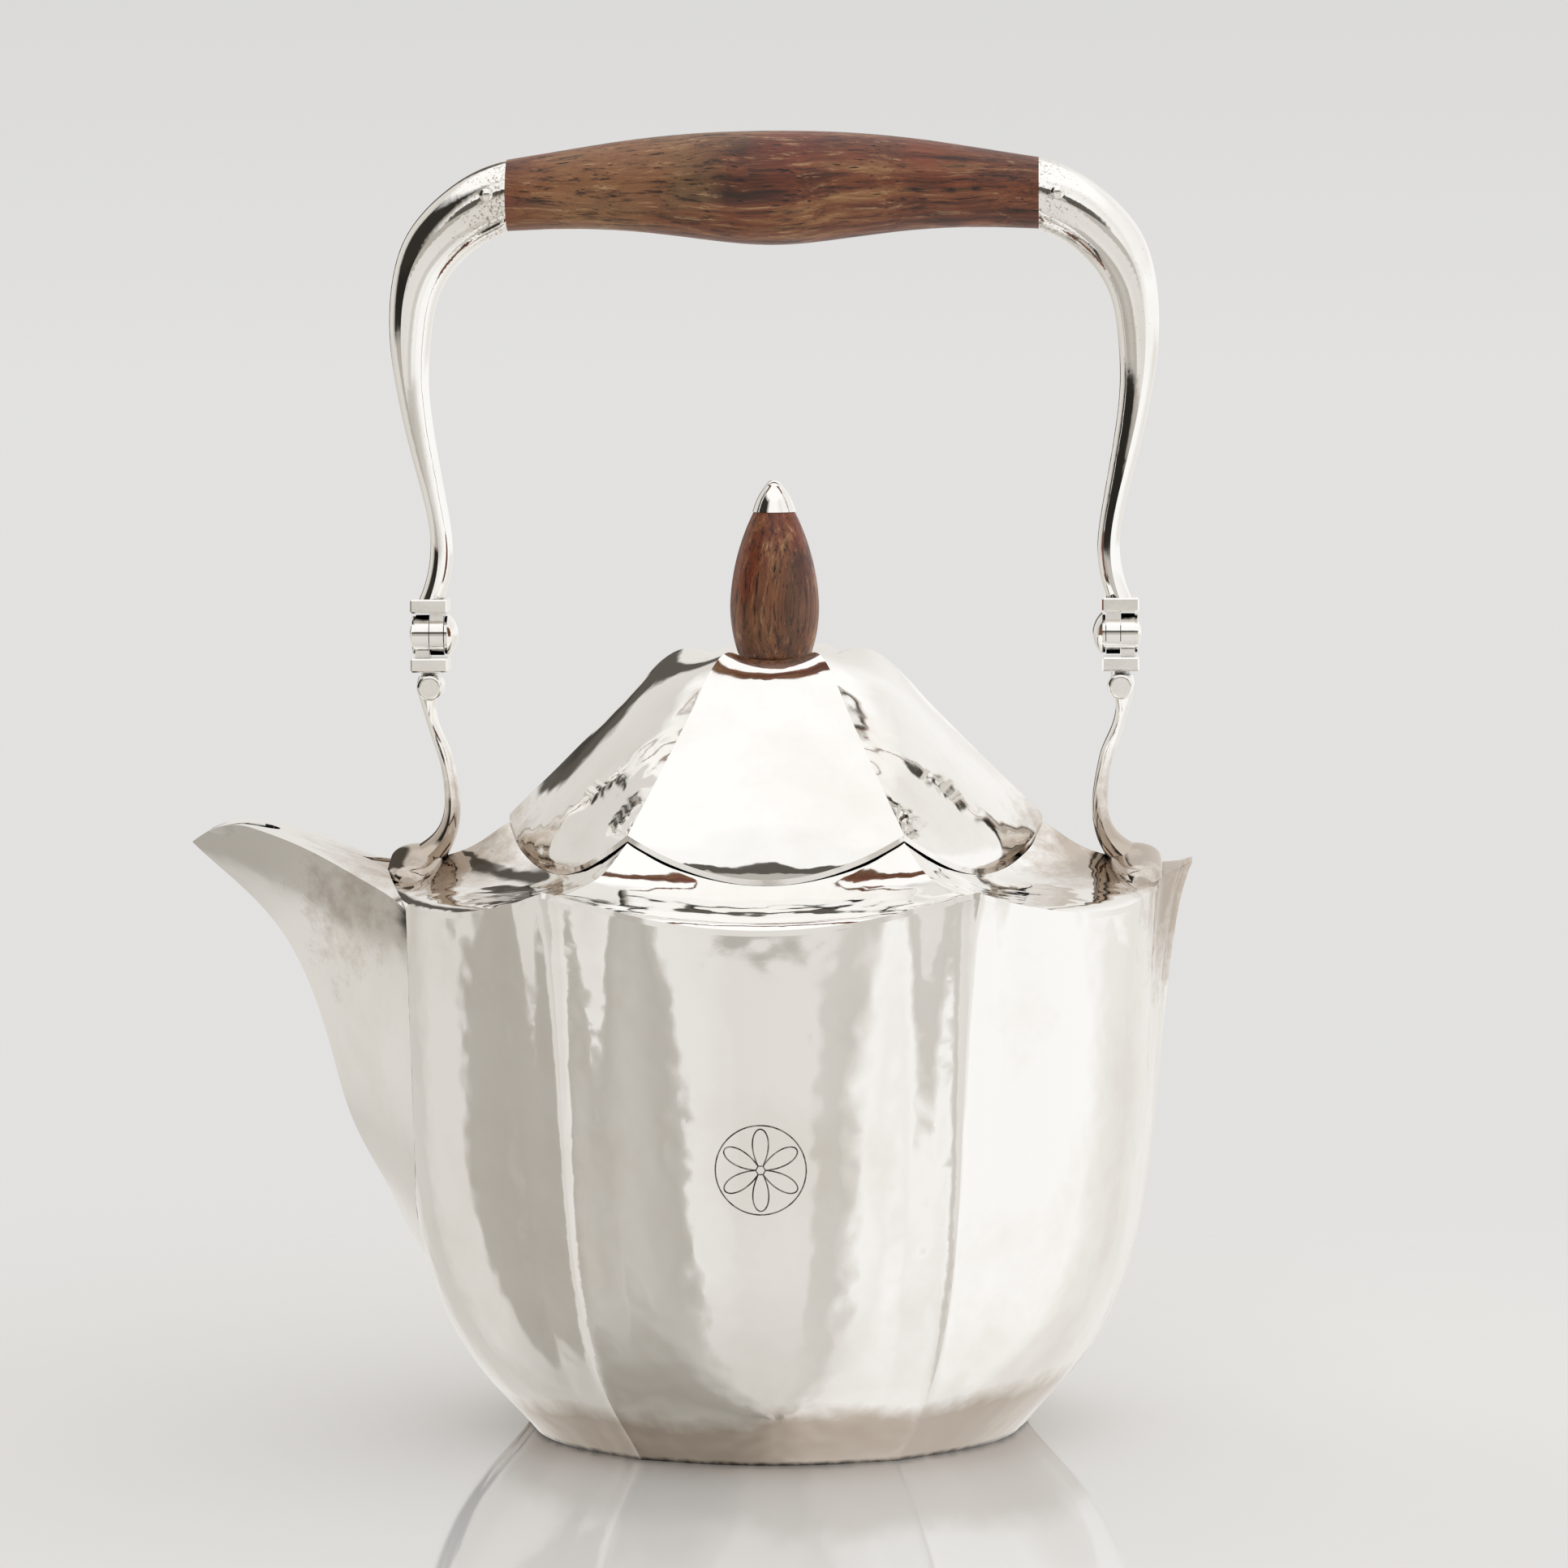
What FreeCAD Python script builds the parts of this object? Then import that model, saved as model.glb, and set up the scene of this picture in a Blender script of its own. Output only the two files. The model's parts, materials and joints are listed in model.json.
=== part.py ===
import FreeCAD, Part
import math
import os
import Sketcher
from FreeCAD import Placement, Rotation, Vector

# Six-lobed silver tea kettle with a lift-off lid and a swinging bail handle.
# Origin: centre of the resting plane on the vertical axis. +Z up, spout toward -X,
# the bail folds about an axis along X. Millimetres throughout.

doc = FreeCAD.newDocument("tea_kettle")
sheet = doc.addObject("Spreadsheet::Sheet", "Sheet")

DIMENSIONS = {
    # bowl of the pot
    "rim_tip_r": 81.0, "rim_tip_z": 110.0, "rim_mid_r": 75.0, "rim_mid_z": 103.4, "rim_flare": 5.0,
    "foot_r": 48.8, "sheet_t": 1.1, "base_t": 1.2,
    # lid seat
    "mouth_r": 40.0, "mouth_z": 117.0, "collar_bore_r": 38.6, "collar_drop": 8.0, "bead_r": 0.8,
    # lid and its finial
    "lid_tip_r": 52.0, "lid_tip_z": 119.4, "lid_mid_r": 47.8, "lid_mid_z": 111.2,
    "seat_z": 149.6, "flange_r": 38.2, "flange_t": 1.2, "flange_bottom_z": 109.2,
    "knob_r": 8.65, "knob_foot_r": 5.2, "knob_heel_r": 7.2, "knob_heel": 1.6, "knob_top_r": 4.0,
    "knob_len": 28.9, "knob_belly": 10.6, "heel_arc": 2.6, "belly_arc": 29.0, "neck_arc": 44.0,
    "finial_len": 6.2, "finial_lip": 0.2, "finial_arc": 12.0, "tip_r": 1.7, "tip_len": 1.2,
    "rod_r": 1.2, "rod_hole_r": 1.3, "rod_below": 5.6, "rod_above": 3.0, "seat_play": 0.2, "seat_press": 0.1,
    "knob_washer_r": 6.0, "knob_washer_t": 0.8, "nut_r": 3.9, "nut_len": 2.5,
    # hinges of the bail
    "hinge_z": 154.6, "hinge_x": 67.1, "plate_r": 3.95, "plate_t": 2.7, "plate_gap": 0.15,
    "pin_r": 1.6, "pin_play": 0.05, "dome_r": 4.3, "dome_len": 1.9, "rivet_r": 2.6, "rivet_len": 0.7,
    "washer_r": 3.7, "washer_t": 0.6,
    "block_w": 7.2, "block_d": 8.4, "block_len": 2.7, "block_off": 4.4, "tongue_d": 5.4,
    "tongue_in": 0.6,
    # wooden grip
    "grip_half": 51.4, "grip_z": 239.8, "grip_end_r": 6.9, "grip_mid_r": 11.0, "grip_rise": 1.2,
    "tenon_r": 3.6, "tenon_len": 6.0, "tenon_play": 0.05, "rivet_play": 0.02,
    "grip_pin_r": 1.3, "grip_pin_in": 3.6, "grip_pin_len": 13.5, "pin_crown": 0.4,
    # spout
    "slot_x": -100.2, "slot_r": 3.3, "slot_point": 7.4, "strainer_r": 1.7,
}
for row, (alias, value) in enumerate(DIMENSIONS.items(), start=1):
    sheet.set(f"A{row}", alias)
    sheet.set(f"B{row}", str(value))
    sheet.setAlias(f"B{row}", alias)
doc.recompute()


def size(alias):
    """The driving dimension held in the sheet under this alias."""
    return float(sheet.get(alias))


PANELS = 6
HALF_PANEL = 30.0
FLARE_FROM = 21.5
FLARE_POWER = 1.4
PANEL_ANGLES = [0, 7, 14, 19, 21.5, 23.5, 26.5, 30]
UP = Vector(0, 0, 1)
pieces = []


def keep(label, shape):
    """A finished sculpted piece as a Part::Feature."""
    feature = doc.addObject("Part::Feature", label)
    feature.Shape = shape
    feature.Label = label
    pieces.append(feature)
    return feature


# ---------------------------------------------------------------- turned pieces

def turned(label, outline, place=Placement()):
    """A body of revolution about its own Z. outline lists (radius, height[, arc radius]) as
    expressions on the sheet; an arc radius rounds the edge that ends at that corner, outwards."""
    body = doc.addObject("PartDesign::Body", label)
    body.Label = label
    plane = [f for f in body.Origin.OriginFeatures if f.Role == "XZ_Plane"][0]
    sketch = body.newObject("Sketcher::SketchObject", label + "_outline")
    sketch.AttachmentSupport = (plane, [""])
    sketch.MapMode = "FlatFace"
    corners = [Vector(*(float(sheet.evalExpression(term)) for term in corner[:2]), 0)
               for corner in outline]
    for index, corner in enumerate(outline):
        start, end = corners[index - 1], corners[index]
        if len(corner) < 3:
            sketch.addGeometry(Part.LineSegment(start, end), False)
        else:
            radius = float(sheet.evalExpression(corner[2]))
            chord = end - start
            side = Vector(chord.y, -chord.x, 0).normalize()
            sagitta = radius - math.sqrt(radius ** 2 - (chord.Length / 2) ** 2)
            sketch.addGeometry(Part.Arc(start, (start + end) / 2 + side * sagitta, end), False)
    count = len(outline)
    # an arc runs anticlockwise, so its first point is the one the outline reaches first
    for index in range(count):
        sketch.addConstraint(Sketcher.Constraint("Coincident", index, 2, (index + 1) % count, 1))
    for index, corner in enumerate(outline):
        for kind, term, value in (("DistanceX", corner[0], corners[index].x),
                                  ("DistanceY", corner[1], corners[index].y)):
            number = sketch.addConstraint(Sketcher.Constraint(kind, -1, 1, index, 2, value))
            sketch.setExpression(f"Constraints[{number}]", term)
        if len(corner) == 3:
            radius = float(sheet.evalExpression(corner[2]))
            number = sketch.addConstraint(Sketcher.Constraint("Radius", index, radius))
            sketch.setExpression(f"Constraints[{number}]", corner[2])
    spin = body.newObject("PartDesign::Revolution", label + "_turned")
    spin.Profile = sketch
    spin.ReferenceAxis = (sketch, ["V_Axis"])
    spin.Angle = 360
    body.Placement = place
    pieces.append(body)
    return body


def ring(label, bore, rim, low, high, place=Placement()):
    """A plain turned ring or, with a zero bore, a disc."""
    return turned(label, [(bore, low), (rim, low), (rim, high), (bore, high)], place)


def crown(radius, rise):
    """Radius of a spherical crown that is rise high over a flat of this radius."""
    return f"(({radius}) ^ 2 + ({rise}) ^ 2) / (2 * ({rise}))"


# ---------------------------------------------------------------- lobed sheet metal

def lobed(middle, crease, flare, angle):
    """A value across one panel: a shallow parabola from the panel's middle to the crease, with
    the last few degrees turned up by flare into the sharp ridge."""
    share = abs(angle) / HALF_PANEL
    lift = max(0.0, (abs(angle) - FLARE_FROM) / (HALF_PANEL - FLARE_FROM))
    return middle + (crease - flare - middle) * share ** 2 + flare * lift ** FLARE_POWER


def panel_points(stations, inset=0.0, drop=0.0):
    """Grid of points of the panel centred on +X. A station is (middle r, middle z, crease r,
    crease z, flare); inset shrinks the radii and drop lowers the points."""
    angles = [-a for a in reversed(PANEL_ANGLES[1:])] + PANEL_ANGLES
    grid = []
    for middle_r, middle_z, crease_r, crease_z, flare in stations:
        line = []
        for angle in angles:
            radius = lobed(middle_r, crease_r, flare, angle) - inset
            height = lobed(middle_z, crease_z, 0.0, angle) - drop
            turn = math.radians(angle)
            line.append(Vector(radius * math.cos(turn), radius * math.sin(turn), height))
        grid.append(line)
    return grid


def panel_surface(stations, inset=0.0, drop=0.0):
    surface = Part.BSplineSurface()
    surface.interpolate(panel_points(stations, inset, drop))
    return surface


def end_edges(surface):
    """The panel's first and last station curves as edges."""
    first, last = surface.bounds()[0:2]
    return [surface.uIso(u).toShape() for u in (first, last)]


def around(shapes):
    """Six copies of the panel's faces, one per lobe, with creases at 0, 60, ... degrees."""
    copies = []
    for number in range(PANELS):
        for shape in shapes:
            copy = shape.copy()
            copy.rotate(Vector(), UP, HALF_PANEL + number * 2 * HALF_PANEL)
            copies.append(copy)
    return copies


def sewn(faces):
    shell = Part.Shell(faces)
    shell.sewShape()
    solid = Part.Solid(Part.Shell(shell.Faces))
    if solid.Volume < 0:
        solid.reverse()
    return solid


def lobed_sheet(outer, inner):
    """A closed six-lobed sheet between two panel surfaces."""
    faces = [outer.toShape(), inner.toShape()]
    for one, other in zip(end_edges(outer), end_edges(inner)):
        faces.append(Part.makeRuledSurface(one, other))
    return sewn(around(faces))


# Wall stations from the foot to the rim: the creases stand a little proud of the lobes all the
# way up and run out into raised tips at the rim, where the edge is scalloped.
foot_r, rim_tip_r, rim_tip_z = size("foot_r"), size("rim_tip_r"), size("rim_tip_z")
rim_mid_r, rim_mid_z, rim_flare = size("rim_mid_r"), size("rim_mid_z"), size("rim_flare")
WALL_SHAPE = [
    # height share, crease radius, lobe radius beyond the crease, flare
    (0.000, foot_r, -0.9, 1.2),
    (0.036, 52.0, -0.5, 1.3),
    (0.090, 57.3, -0.2, 1.6),
    (0.160, 62.8, 0.1, 2.0),
    (0.250, 67.4, 0.4, 2.4),
    (0.380, 71.3, 0.5, 2.7),
    (0.540, 73.7, 0.3, 3.0),
    (0.700, 75.3, -0.4, 3.4),
    (0.840, 77.0, -1.8, 3.9),
    (0.930, 78.6, -3.4, 4.4),
]


def wall_stations():
    stations = []
    for share, crease, beyond, flare in WALL_SHAPE:
        crease_z = share * rim_tip_z
        middle_z = crease_z * (1 - (1 - rim_mid_z / rim_tip_z) * share ** 3)
        stations.append((crease + beyond, middle_z, crease, crease_z, flare))
    stations.append((rim_mid_r, rim_mid_z, rim_tip_r, rim_tip_z, rim_flare))
    return stations


wall_t = size("sheet_t")
wall_outer = panel_surface(wall_stations())
wall_inner = panel_surface(wall_stations(), inset=wall_t)
wall = lobed_sheet(wall_outer, wall_inner)
ENVELOPE_TOP = 128.0


def levelled(edge, height):
    """The same curve with every pole at one height."""
    curve = edge.Curve.copy()
    for number, pole in enumerate(curve.getPoles(), start=1):
        curve.setPole(number, Vector(pole.x, pole.y, height))
    return curve.toShape()


def filled(surface):
    """Everything inside a wall surface, carried straight up from the rim to ENVELOPE_TOP."""
    foot_edge, rim_edge = end_edges(surface)
    top_edge = levelled(rim_edge, ENVELOPE_TOP)
    faces = around([surface.toShape(), Part.makeRuledSurface(rim_edge, top_edge)])
    for edge in (foot_edge, top_edge):
        faces.append(Part.Face(Part.Wire(Part.__sortEdges__(around([edge])))))
    return sewn(faces)


# Strainer: rows of holes through the wall behind the spout.
DRILL_LEN = 30.0
STRAINER_FROM_X = -90.0
STRAINER_ROWS = [(58, 2), (66, 3), (74, 4), (82, 3), (90, 2)]
STRAINER_PITCH = 7.0
strained = wall
for height, count in STRAINER_ROWS:
    for number in range(count):
        start = Vector(STRAINER_FROM_X, (number - (count - 1) / 2) * STRAINER_PITCH, height)
        strained = strained.cut(Part.makeCylinder(size("strainer_r"), DRILL_LEN, start, Vector(1, 0, 0)))
keep("body_wall", strained)

# Base plate: a disc let into the foot, flush with it underneath, its edge meeting the wall.
SLAB_HALF = 60.0
slab = Part.makeBox(2 * SLAB_HALF, 2 * SLAB_HALF, size("base_t"), Vector(-SLAB_HALF, -SLAB_HALF, 0))
keep("base_plate", filled(wall_inner).common(slab))

# Shoulder: rises from the rim to the mouth, ridged along the creases, and lies on the wall's edge.
mouth_r, mouth_z = size("mouth_r"), size("mouth_z")
SHOULDER_STATIONS = [
    (rim_mid_r, rim_mid_z + wall_t, rim_tip_r, rim_tip_z + wall_t, rim_flare),
    (71.5, 105.9, 74.0, 110.1, 3.0),
    (66.0, 106.5, 67.5, 110.9, 1.2),
    (59.0, 106.9, 61.4, 112.4, 0.6),
    (52.6, 107.9, 56.2, 115.2, 0.3),
    (48.4, 109.7, 52.8, 117.6, 0.2),
    (44.6, 112.3, 48.6, 118.2, 0.1),
    (mouth_r, mouth_z, mouth_r, mouth_z, 0.0),
]
shoulder_top = panel_surface(SHOULDER_STATIONS)
shoulder = lobed_sheet(shoulder_top, panel_surface(SHOULDER_STATIONS, drop=wall_t)).cut(wall)
keep("shoulder", max(shoulder.Solids, key=lambda solid: solid.Volume))

# Collar: a short tube soldered into the mouth, with a bead along its upper edge.
turned("lid_seat_collar", [
    ("Sheet.collar_bore_r", "Sheet.mouth_z - Sheet.collar_drop"),
    ("Sheet.mouth_r", "Sheet.mouth_z - Sheet.collar_drop"),
    ("Sheet.mouth_r", "Sheet.mouth_z"),
    ("Sheet.collar_bore_r", "Sheet.mouth_z", "Sheet.bead_r"),
])

# ---------------------------------------------------------------- spout

# Level sections of the beak: the keel's reach, the point where the flat side meets the wall.
SPOUT_SECTIONS = [
    # height, keel reach, side reach, side half width
    (27, 66.0, 60.0, 14.0),
    (32, 69.0, 63.5, 22.0),
    (38, 72.4, 64.6, 26.5),
    (46, 76.2, 65.6, 29.5),
    (58, 82.6, 66.4, 31.0),
    (74, 87.5, 67.2, 31.5),
    (88, 92.2, 67.6, 31.0),
    (98, 97.8, 68.5, 29.5),
    (106, 105.2, 70.5, 27.0),
    (113, 113.0, 76.0, 23.5),
    (120, 121.5, 83.0, 21.0),
]


def beak(sections, inset, back):
    """The V-shaped beak, closed at the back, its sides moved inwards by inset."""
    wires = []
    for height, keel, side, half in sections:
        shift = inset / math.sin(math.atan2(half, keel - side))
        corners = [Vector(shift - keel, 0, height), Vector(shift - side, half, height),
                   Vector(-back, half, height), Vector(-back, -half, height),
                   Vector(shift - side, -half, height)]
        wires.append(Part.makePolygon(corners + corners[:1]))
    return Part.makeLoft(wires, True, False)


# Cover stations along the beak: reach, height on the centre line, height at the edge, half width.
COVER_OVERHANG = 1.25
COVER_STATIONS = [
    (62, 109.6, 101.5, 31.0),
    (70, 109.9, 104.0, 27.0),
    (77, 110.6, 107.8, 22.5),
    (84, 112.3, 111.3, 18.0),
    (91, 114.9, 114.5, 13.8),
    (98, 117.0, 116.9, 9.6),
    (104, 117.8, 118.0, 6.0),
    (109, 117.0, 117.2, 3.5),
    (114.5, 114.0, 114.2, 3.0),
    (120, 110.2, 110.4, 3.0),
]
cover_points = []
for reach, centre_z, edge_z, half in COVER_STATIONS:
    cover_points.append([])
    for step in (-1, -0.6, -0.3, 0, 0.3, 0.6, 1):
        share = COVER_OVERHANG * step
        cover_points[-1].append(Vector(-reach, half * share, centre_z + (edge_z - centre_z) * share ** 2))
cover_surface = Part.BSplineSurface()
cover_surface.interpolate(cover_points)
cover_face = cover_surface.toShape()
cover_slab = cover_face.extrude(UP * -wall_t)
BELOW_COVER = 95.0
below_cover = cover_face.translated(UP * -wall_t).extrude(UP * -BELOW_COVER)

# The beak is closed well inside the wall, and its hollow a little further in.
BEAK_BACK, HOLLOW_BACK = 50.0, 45.0
envelope = filled(wall_outer)
beak_outer = beak(SPOUT_SECTIONS, 0.0, BEAK_BACK)
beak_inner = beak(SPOUT_SECTIONS[1:], wall_t, HOLLOW_BACK)
spout = beak_outer.common(below_cover).cut(envelope).cut(beak_inner)
keep("spout_shell", max(spout.Solids, key=lambda solid: solid.Volume))

# Pouring slot: a round end with a point toward the tip.
SLOT_LOW, SLOT_DEPTH = 105.0, 20.0
slot_x, slot_r = size("slot_x"), size("slot_r")
slot_tip = Vector(slot_x - size("slot_point"), 0, SLOT_LOW)
slot_arc = Part.Arc(Vector(slot_x, -slot_r, SLOT_LOW), Vector(slot_x + slot_r, 0, SLOT_LOW),
                    Vector(slot_x, slot_r, SLOT_LOW))
slot_sides = [Part.LineSegment(slot_arc.EndPoint, slot_tip), Part.LineSegment(slot_tip, slot_arc.StartPoint)]
slot = Part.Face(Part.Wire([slot_arc.toShape()] + [side.toShape() for side in slot_sides]))
cover = beak_outer.common(cover_slab).cut(envelope).cut(slot.extrude(UP * SLOT_DEPTH))
keep("spout_cover", max(cover.Solids, key=lambda solid: solid.Volume))

# ---------------------------------------------------------------- lid

seat_z = size("seat_z")
LID_STATIONS = [
    (size("lid_mid_r"), size("lid_mid_z"), size("lid_tip_r"), size("lid_tip_z"), -0.9),
    (46.4, 117.4, 48.0, 123.4, -0.5),
    (42.0, 126.0, 42.0, 129.2, 0.0),
    (35.6, 134.2, 35.6, 135.6, 0.0),
    (28.8, 142.0, 28.8, 142.6, 0.0),
    (22.6, 147.9, 22.6, 149.1, 0.0),
    (17.4, 150.3, 17.4, 151.9, 0.0),
    (12.6, 150.2, 12.6, 151.1, 0.0),
    (8.6, 149.7, 8.6, 149.8, 0.0),
    (5.0, seat_z, 5.0, seat_z, 0.0),
    (1.5, seat_z, 1.5, seat_z, 0.0),
]
lid_top = panel_surface(LID_STATIONS)
lid_under = panel_surface(LID_STATIONS, drop=wall_t)
lid = lobed_sheet(lid_top, lid_under)
# A flat seat is pressed into the lid for the knob above, and another for its washer below.
SEAT_DEPTH = 3.0
seat_play, seat_press = size("seat_play"), size("seat_press")
lid = lid.cut(Part.makeCylinder(size("knob_foot_r") + seat_play, SEAT_DEPTH,
                                Vector(0, 0, seat_z - seat_press)))
lid = lid.cut(Part.makeCylinder(size("knob_washer_r") + seat_play, SEAT_DEPTH,
                                Vector(0, 0, seat_z - wall_t + seat_press - SEAT_DEPTH)))
keep("lid_shell", lid)

# Flange: a tube under the lid that drops inside the collar, trimmed to the lid's underside.
TUBE_LEN, UNDER_LID = 30.0, 40.0
flange_r, flange_low = size("flange_r"), size("flange_bottom_z")
tube = Part.makeCylinder(flange_r, TUBE_LEN, Vector(0, 0, flange_low))
tube = tube.cut(Part.makeCylinder(flange_r - size("flange_t"), TUBE_LEN, Vector(0, 0, flange_low)))
under_lid = around([lid_under.toShape().extrude(UP * -UNDER_LID)])
parts_of_flange = [tube.common(prism) for prism in under_lid]
keep("lid_flange", parts_of_flange[0].multiFuse(parts_of_flange[1:]).removeSplitter())

# Knob: turned wood with a silver finial, held by a rod, washer and nut through the lid.
on_seat = Placement(Vector(0, 0, seat_z - seat_press), Rotation())
under_seat = "(Sheet.sheet_t - 2 * Sheet.seat_press)"
turned("knob_wood", [
    ("Sheet.rod_hole_r", "0"),
    ("Sheet.knob_foot_r", "0"),
    ("Sheet.knob_heel_r", "Sheet.knob_heel", "Sheet.heel_arc"),
    ("Sheet.knob_r", "Sheet.knob_belly", "Sheet.belly_arc"),
    ("Sheet.knob_top_r", "Sheet.knob_len", "Sheet.neck_arc"),
    ("Sheet.rod_hole_r", "Sheet.knob_len"),
], on_seat)
turned("knob_finial", [
    ("Sheet.rod_r", "Sheet.knob_len"),
    ("Sheet.knob_top_r + Sheet.finial_lip", "Sheet.knob_len"),
    ("Sheet.tip_r", "Sheet.knob_len + Sheet.finial_len - Sheet.tip_len", "Sheet.finial_arc"),
    ("0", "Sheet.knob_len + Sheet.finial_len", crown("Sheet.tip_r", "Sheet.tip_len")),
    ("0", "Sheet.knob_len + Sheet.rod_above"),
    ("Sheet.rod_r", "Sheet.knob_len + Sheet.rod_above"),
], on_seat)
ring("knob_rod", "0", "Sheet.rod_r", f"-{under_seat} - Sheet.rod_below",
     "Sheet.knob_len + Sheet.rod_above", on_seat)
ring("knob_washer", "Sheet.rod_hole_r", "Sheet.knob_washer_r",
     f"-{under_seat} - Sheet.knob_washer_t", f"-{under_seat}", on_seat)
nut_hex = doc.addObject("Part::Prism", "nut_hexagon")
nut_hex.Polygon = 6
nut_hex.setExpression("Circumradius", "Sheet.nut_r")
nut_hex.setExpression("Height", "Sheet.nut_len")
nut_bore = doc.addObject("Part::Cylinder", "nut_bore")
nut_bore.setExpression("Radius", "Sheet.rod_hole_r")
nut_bore.setExpression("Height", "Sheet.nut_len")
nut = doc.addObject("Part::Cut", "knob_nut")
nut.Base, nut.Tool = nut_hex, nut_bore
nut.Label = "knob_nut"
nut_top = seat_z - wall_t + seat_press - size("knob_washer_t")
nut.Placement.Base = Vector(0, 0, nut_top - size("nut_len"))
pieces.append(nut)

# ---------------------------------------------------------------- brackets, arms and hinges

hinge_x, hinge_z = size("hinge_x"), size("hinge_z")
plate_t, plate_gap = size("plate_t"), size("plate_gap")
BLOCK_CHAMFER = 0.3


def keeled(outer, inner, depth, share):
    """Section of an arm or strap, given its outer and inner points in the XZ plane: two arcs that
    meet in ridges at the front and the back, share of the way from the outer point inwards."""
    outer = Vector(outer[0], 0, outer[1])
    inner = Vector(inner[0], 0, inner[1])
    ridge = outer + (inner - outer) * share
    front = ridge - Vector(0, depth / 2, 0)
    back = ridge + Vector(0, depth / 2, 0)
    return Part.Wire([Part.Arc(front, outer, back).toShape(), Part.Arc(back, inner, front).toShape()])


def knuckle(plate_x, block_side):
    """A hinge plate with its tongue and the block it grows from; block_side is +1 above the axis
    or -1 below it, and plate_x is where the plate starts."""
    block_off, block_len = size("block_off"), size("block_len")
    block_w, block_d, tongue_d = size("block_w"), size("block_d"), size("tongue_d")
    tongue_len = block_off + size("tongue_in")
    block_z = hinge_z + block_off if block_side > 0 else hinge_z - block_off - block_len
    block = Part.makeBox(block_w, block_d, block_len, Vector(hinge_x - block_w / 2, -block_d / 2, block_z))
    block = block.makeChamfer(BLOCK_CHAMFER, block.Edges)
    plate = Part.makeCylinder(size("plate_r"), plate_t, Vector(plate_x, 0, hinge_z), Vector(1, 0, 0))
    tongue_z = hinge_z if block_side > 0 else hinge_z - tongue_len
    tongue = Part.makeBox(plate_t, tongue_d, tongue_len, Vector(plate_x, -tongue_d / 2, tongue_z))
    return block.fuse(plate).fuse(tongue)


inner_plate_x = hinge_x - plate_gap / 2 - plate_t
outer_plate_x = hinge_x + plate_gap / 2

# Arm, right hand: from the round socket at the grip down to the narrow foot on the hinge block.
ARM_STATIONS = [
    # outer point, inner point, depth, ridge share
    ((51.4, 246.7), (51.4, 232.9), 13.8, 0.50),
    ((57.0, 244.8), (54.0, 231.5), 13.5, 0.48),
    ((62.7, 241.3), (57.6, 229.4), 12.9, 0.45),
    ((67.5, 237.0), (60.4, 227.0), 12.2, 0.41),
    ((71.4, 231.6), (62.8, 224.2), 11.4, 0.38),
    ((73.8, 224.2), (64.9, 220.2), 10.6, 0.35),
    ((74.6, 215.0), (66.3, 214.2), 9.9, 0.33),
    ((73.7, 204.5), (67.0, 204.6), 9.1, 0.33),
    ((71.2, 192.0), (65.9, 193.0), 8.3, 0.36),
    ((68.1, 180.0), (63.8, 180.8), 7.6, 0.40),
    ((67.0, 171.0), (62.6, 171.2), 7.2, 0.43),
    ((68.0, 164.9), (63.2, 165.5), 7.6, 0.46),
    ((69.8, 160.6), (64.6, 160.8), 7.9, 0.50),
]
arm = Part.makeLoft([keeled(*station) for station in ARM_STATIONS], True, False)
arm = arm.fuse(knuckle(inner_plate_x, +1))
pin_bore = Part.makeCylinder(size("pin_r") + size("pin_play"), DRILL_LEN,
                             Vector(hinge_x - DRILL_LEN / 2, 0, hinge_z), Vector(1, 0, 0))
grip_half, grip_z = size("grip_half"), size("grip_z")
socket = Part.makeCylinder(size("tenon_r") + size("tenon_play"), size("tenon_len") + size("tenon_play"),
                           Vector(grip_half, 0, grip_z), Vector(1, 0, 0))
grip_pin_x = grip_half + size("grip_pin_in")
cross_hole = Part.makeCylinder(size("grip_pin_r") + size("rivet_play"), DRILL_LEN,
                               Vector(grip_pin_x, -DRILL_LEN / 2, grip_z), Vector(0, 1, 0))
arm = arm.cut(pin_bore).cut(socket).cut(cross_hole)

# Bracket, right hand: an S-curved strap under the lower block, a small scroll at its head, and a
# saddle foot whose two toes lie on the shoulder either side of the ridge.
STRAP_STATIONS = [
    ((69.4, 146.6), (65.4, 146.6), 6.6, 0.5),
    ((69.8, 144.2), (65.6, 144.0), 6.8, 0.5),
    ((69.2, 141.4), (66.1, 140.8), 6.6, 0.5),
    ((67.7, 136.4), (64.8, 135.5), 6.2, 0.5),
    ((65.6, 130.0), (62.7, 129.6), 6.2, 0.5),
    ((64.7, 124.0), (61.7, 123.8), 6.8, 0.5),
    ((65.2, 118.6), (61.8, 117.6), 8.2, 0.5),
    ((67.6, 115.2), (63.5, 112.6), 10.4, 0.5),
    ((71.4, 112.8), (66.6, 108.6), 13.0, 0.5),
]
SCROLL_R, SCROLL_DEPTH, SCROLL_ROUND = 2.55, 7.8, 0.8
SCROLL_X, SCROLL_Z = 67.1, 144.5
NECK_R = 1.9
FOOT_STATIONS = [
    # y, centre x, centre z, half length along X, half height
    (-14.2, 70.8, 107.4, 1.6, 1.2),
    (-12.6, 70.8, 107.8, 3.4, 2.3),
    (-9.0, 70.6, 108.7, 4.6, 2.6),
    (-5.0, 70.2, 109.9, 5.0, 2.8),
    (0.0, 70.0, 110.9, 5.2, 3.0),
    (5.0, 70.2, 109.9, 5.0, 2.8),
    (9.0, 70.6, 108.7, 4.6, 2.6),
    (12.6, 70.8, 107.8, 3.4, 2.3),
    (14.2, 70.8, 107.4, 1.6, 1.2),
]
strap = Part.makeLoft([keeled(*station) for station in STRAP_STATIONS], True, False)
scroll = Part.makeCylinder(SCROLL_R, SCROLL_DEPTH, Vector(SCROLL_X, -SCROLL_DEPTH / 2, SCROLL_Z),
                           Vector(0, 1, 0))
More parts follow.
